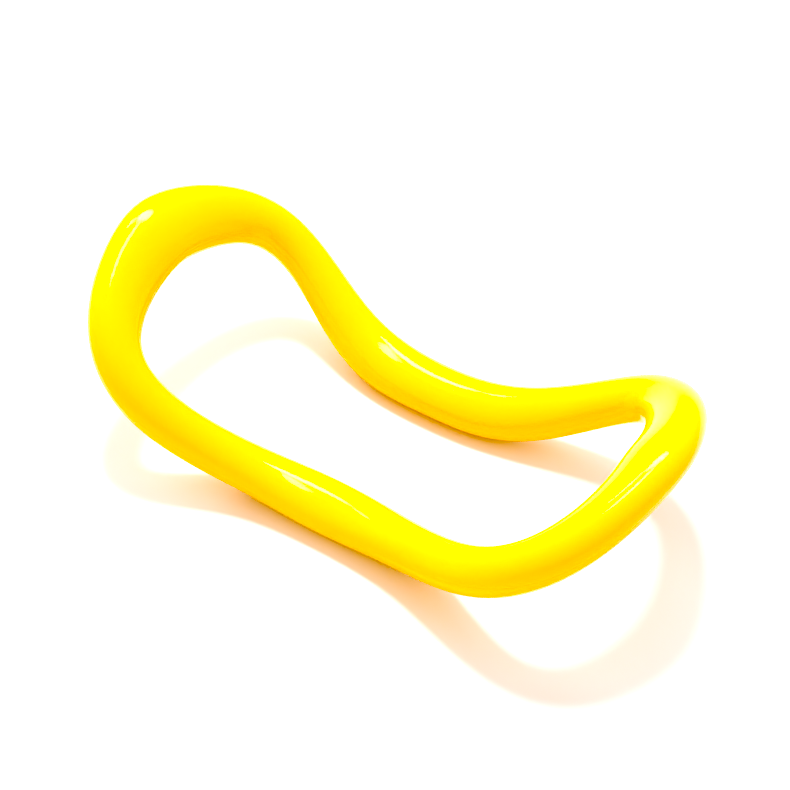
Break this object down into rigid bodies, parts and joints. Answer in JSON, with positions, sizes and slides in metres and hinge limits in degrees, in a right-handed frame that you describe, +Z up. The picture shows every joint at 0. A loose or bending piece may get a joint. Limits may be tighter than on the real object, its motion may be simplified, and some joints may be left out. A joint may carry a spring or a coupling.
{
  "type": "yoga stretching ring",
  "caption": "Rigid wave-shaped stretching ring: a closed hollow plastic tube, waisted in the middle and bent up at both ends, made of two half shells glued along the seam.",
  "frame": {"origin": "on the floor, below the middle of the ring", "axes": "+X along the ring's length from one raised end to the other, +Y across its width, +Z up with the ring resting on the low middles of its two sides"},
  "size_m": [0.232, 0.1222, 0.0725],
  "materials": {
    "shell_plastic": "glossy injection-moulded yellow",
    "glue": "cured clear-amber adhesive"
  },
  "bodies": {
    "root": {"upper_shell": "shell_plastic", "lower_shell": "shell_plastic", "inner_glue_bead": "glue", "outer_glue_bead": "glue"}
  },
  "joints": []
}
